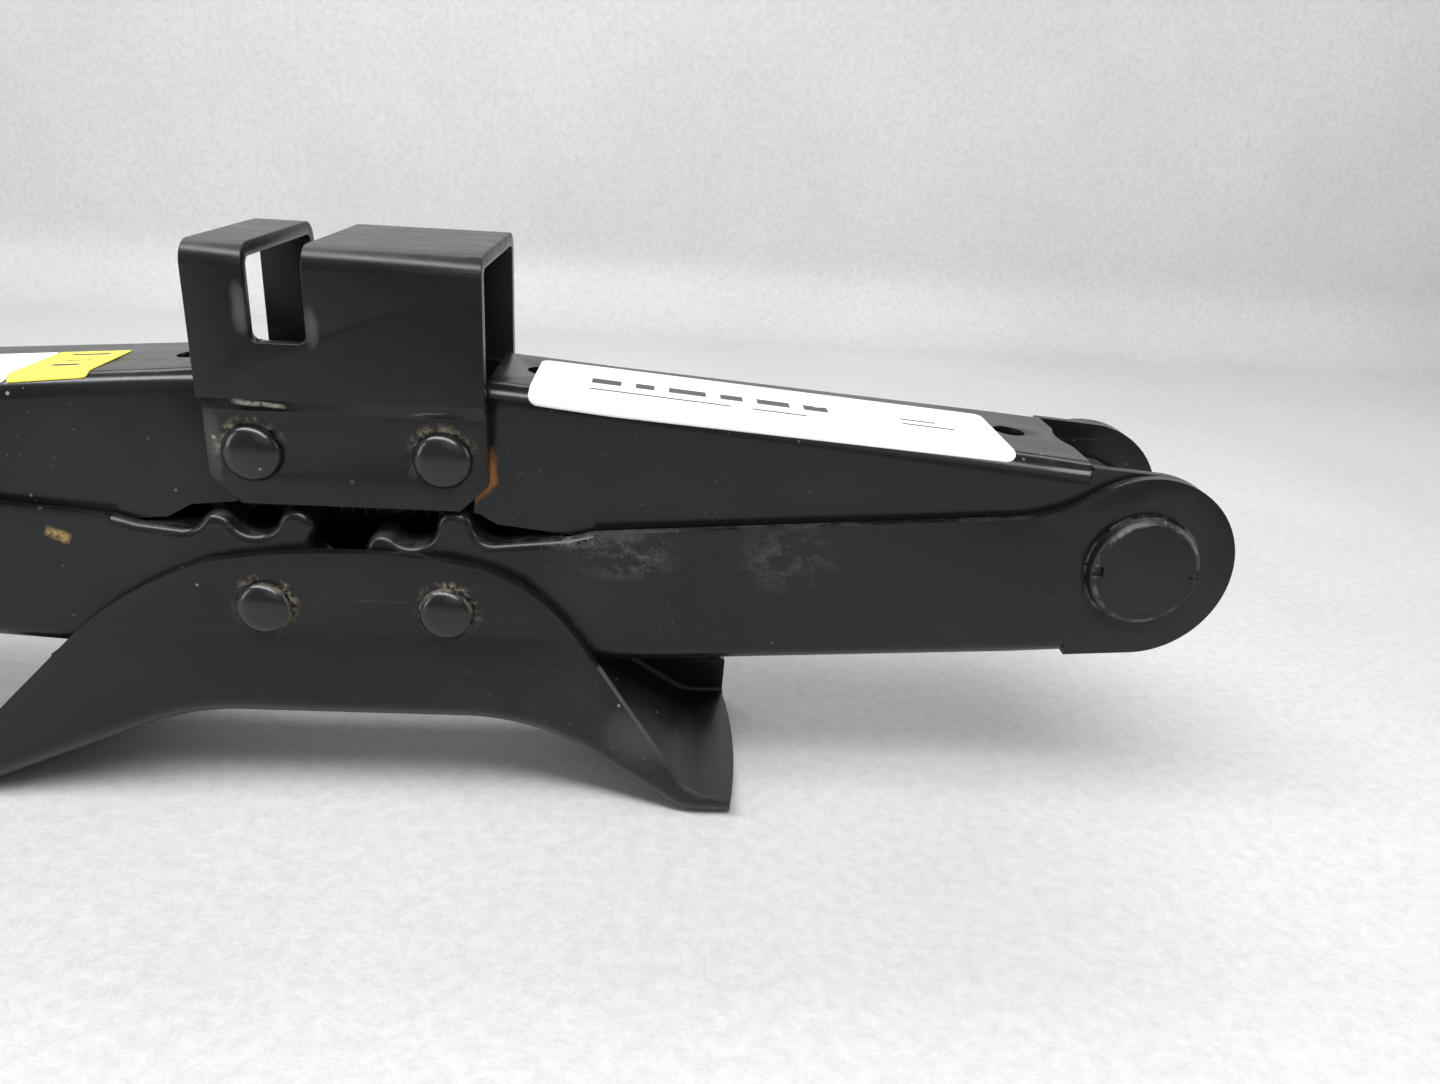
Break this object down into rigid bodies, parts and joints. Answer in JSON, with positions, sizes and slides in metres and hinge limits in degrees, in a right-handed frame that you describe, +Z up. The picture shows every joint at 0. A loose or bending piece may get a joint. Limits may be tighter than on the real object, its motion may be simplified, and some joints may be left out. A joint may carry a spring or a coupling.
{
  "type": "scissor jack",
  "caption": "Folded black scissor jack: arched base, nested channel arms meshing by toothed ends, notched saddle, lead screw with thrust bearing and winding eye.",
  "frame": {"origin": "on the ground, midway between the two base pivots, in the jack's middle plane", "axes": "+X along the jack towards the nut end, away from the drive end; +Y across the jack, away from its front; +Z up"},
  "size_m": [0.4582, 0.0606, 0.1355],
  "materials": {
    "base_paint": "semi-gloss black paint",
    "base_rivet_paint": "semi-gloss black paint, scuffed",
    "lower_arm_paint": "semi-gloss black paint",
    "upper_arm_paint": "semi-gloss black paint",
    "saddle_paint": "semi-gloss black paint, worn at the notch",
    "saddle_rivet_paint": "semi-gloss black paint, scuffed",
    "trunnion_paint": "black paint over turned steel",
    "bush_steel": "plain turned steel",
    "screw_steel": "rolled thread, oiled",
    "forged_steel": "forged, dark",
    "pin_steel": "spring steel",
    "washer_steel": "hardened and ground",
    "ball_steel": "polished",
    "cage_brass": "pressed",
    "label_white": "printed film",
    "label_plain": "printed film",
    "label_yellow": "printed film"
  },
  "bodies": {
    "base": {"base_plate": "base_paint", "base_pin_left": "base_rivet_paint", "base_pin_right": "base_rivet_paint"},
    "lower_arm_left_body": {"lower_arm_left": "lower_arm_paint"},
    "lower_arm_right_body": {"lower_arm_right": "lower_arm_paint"},
    "trunnion_left_body": {"trunnion_block": "trunnion_paint", "thrust_washer_fixed": "washer_steel"},
    "trunnion_right_body": {"trunnion_nut": "trunnion_paint"},
    "upper_arm_left_body": {"upper_arm_left": "upper_arm_paint", "label_yellow_left": "label_yellow", "label_white_left": "label_plain"},
    "upper_arm_right_body": {"upper_arm_right": "upper_arm_paint", "label_white_right": "label_white"},
    "saddle_body": {"saddle": "saddle_paint", "saddle_pin_left": "saddle_rivet_paint", "saddle_pin_right": "saddle_rivet_paint", "saddle_bushes": "bush_steel"},
    "screw_body": {"lead_screw": "screw_steel", "drive_eye": "forged_steel", "thrust_collar": "forged_steel", "roll_pin": "pin_steel", "thrust_washer_turning": "washer_steel", "thrust_balls": "ball_steel", "ball_cage": "cage_brass", "retaining_ring": "pin_steel", "stop_collar": "forged_steel"}
  },
  "joints": [
    {"name": "lower_left_hinge", "type": "hinge", "parent": "base", "child": "lower_arm_left_body", "pos_m": [-0.021, 0, 0.0528], "axis": [0, 1, 0], "range_deg": [0, 55]},
    {"name": "lower_right_hinge", "type": "hinge", "parent": "base", "child": "lower_arm_right_body", "pos_m": [0.021, 0, 0.0528], "axis": [0, -1, 0], "range_deg": [0, 55]},
    {"name": "trunnion_left_hinge", "type": "hinge", "parent": "lower_arm_left_body", "child": "trunnion_left_body", "pos_m": [-0.18527, 0, 0.07123], "axis": [0, -1, 0], "range_deg": [0, 55]},
    {"name": "trunnion_right_hinge", "type": "hinge", "parent": "lower_arm_right_body", "child": "trunnion_right_body", "pos_m": [0.18527, 0, 0.07123], "axis": [0, 1, 0], "range_deg": [0, 55]},
    {"name": "upper_left_hinge", "type": "hinge", "parent": "lower_arm_left_body", "child": "upper_arm_left_body", "pos_m": [-0.18527, 0, 0.07123], "axis": [0, -1, 0], "range_deg": [0, 110]},
    {"name": "upper_right_hinge", "type": "hinge", "parent": "lower_arm_right_body", "child": "upper_arm_right_body", "pos_m": [0.18527, 0, 0.07123], "axis": [0, 1, 0], "range_deg": [0, 110]},
    {"name": "saddle_hinge", "type": "hinge", "parent": "upper_arm_right_body", "child": "saddle_body", "pos_m": [0.021, 0, 0.08965], "axis": [0, -1, 0], "range_deg": [0, 55]},
    {"name": "screw_spin", "type": "hinge", "parent": "trunnion_left_body", "child": "screw_body", "pos_m": [-0.18527, 0, 0.07123], "axis": [1, 0, 0], "continuous": true}
  ],
  "couplings": [
    {"joint": "lower_right_hinge", "follows": "lower_left_hinge", "ratio": 1},
    {"joint": "trunnion_left_hinge", "follows": "lower_left_hinge", "ratio": 1},
    {"joint": "trunnion_right_hinge", "follows": "lower_left_hinge", "ratio": 1},
    {"joint": "upper_left_hinge", "follows": "lower_left_hinge", "ratio": 2},
    {"joint": "upper_right_hinge", "follows": "lower_left_hinge", "ratio": 2},
    {"joint": "saddle_hinge", "follows": "lower_left_hinge", "ratio": 1}
  ]
}
